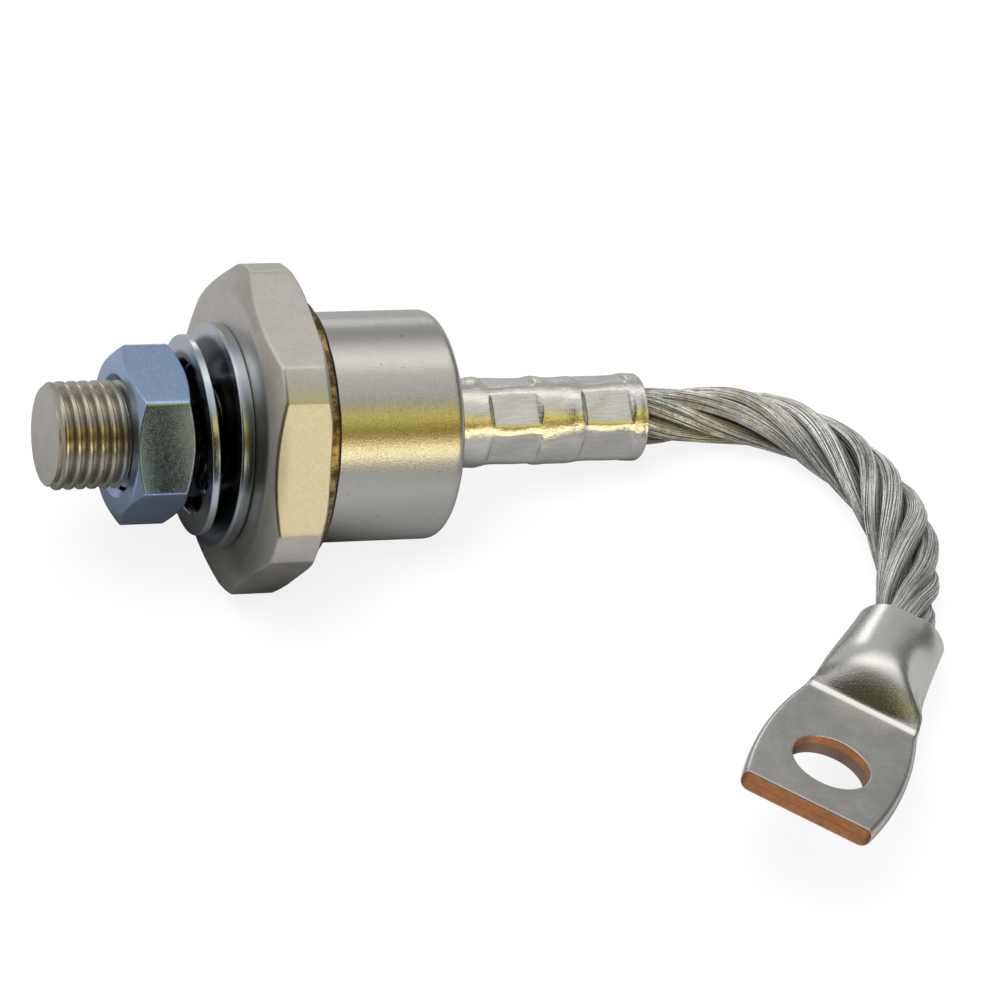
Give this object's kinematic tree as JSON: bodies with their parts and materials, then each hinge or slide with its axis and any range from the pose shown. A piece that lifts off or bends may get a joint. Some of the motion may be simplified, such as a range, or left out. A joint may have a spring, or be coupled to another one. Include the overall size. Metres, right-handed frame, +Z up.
{
  "type": "stud mount diode",
  "caption": "Stud mount rectifier diode: hex copper base with a threaded stud, nut and washers, welded metal case, crimped terminal tube and a short stranded lead with a flat lug.",
  "frame": {"origin": "centre of the seat face, where the stud leaves the hex base", "axes": "X runs along the diode from its stud to its lead as it lies, Y is level across it and Z is up from the table; the diode's own axis lies in the XZ plane, with the stud raised by about 14.4 degrees"},
  "size_m": [0.0766, 0.0731, 0.0275],
  "materials": {
    "base_nickel": "satin nickel plate on copper",
    "ring_steel": "heat tinted steel",
    "case_nickel": "turned, nickel plated steel",
    "tube_nickel": "bright nickel plate on copper",
    "seal_glass": "fused glass",
    "molybdenum": "matt",
    "silicon": "polished silicon",
    "silicone": "soft, matt",
    "copper": "bare copper",
    "tinned_strand": "tinned copper strands",
    "tin_plate": "satin tin plate on copper",
    "nut_zinc": "blue passivated zinc",
    "washer_zinc": "blue passivated zinc"
  },
  "bodies": {
    "root": {"stud_base": "base_nickel", "weld_ring": "ring_steel", "case_shell": "case_nickel", "glass_seal": "seal_glass", "terminal_tube": "tube_nickel", "lower_disc": "molybdenum", "silicon_wafer": "silicon", "junction_coating": "silicone", "upper_disc": "molybdenum", "contact_cup": "copper", "inner_lead": "copper", "flexible_lead": "tinned_strand", "terminal_lug": "tin_plate", "hex_nut": "nut_zinc", "lock_washer": "washer_zinc", "flat_washer": "washer_zinc"}
  },
  "joints": []
}
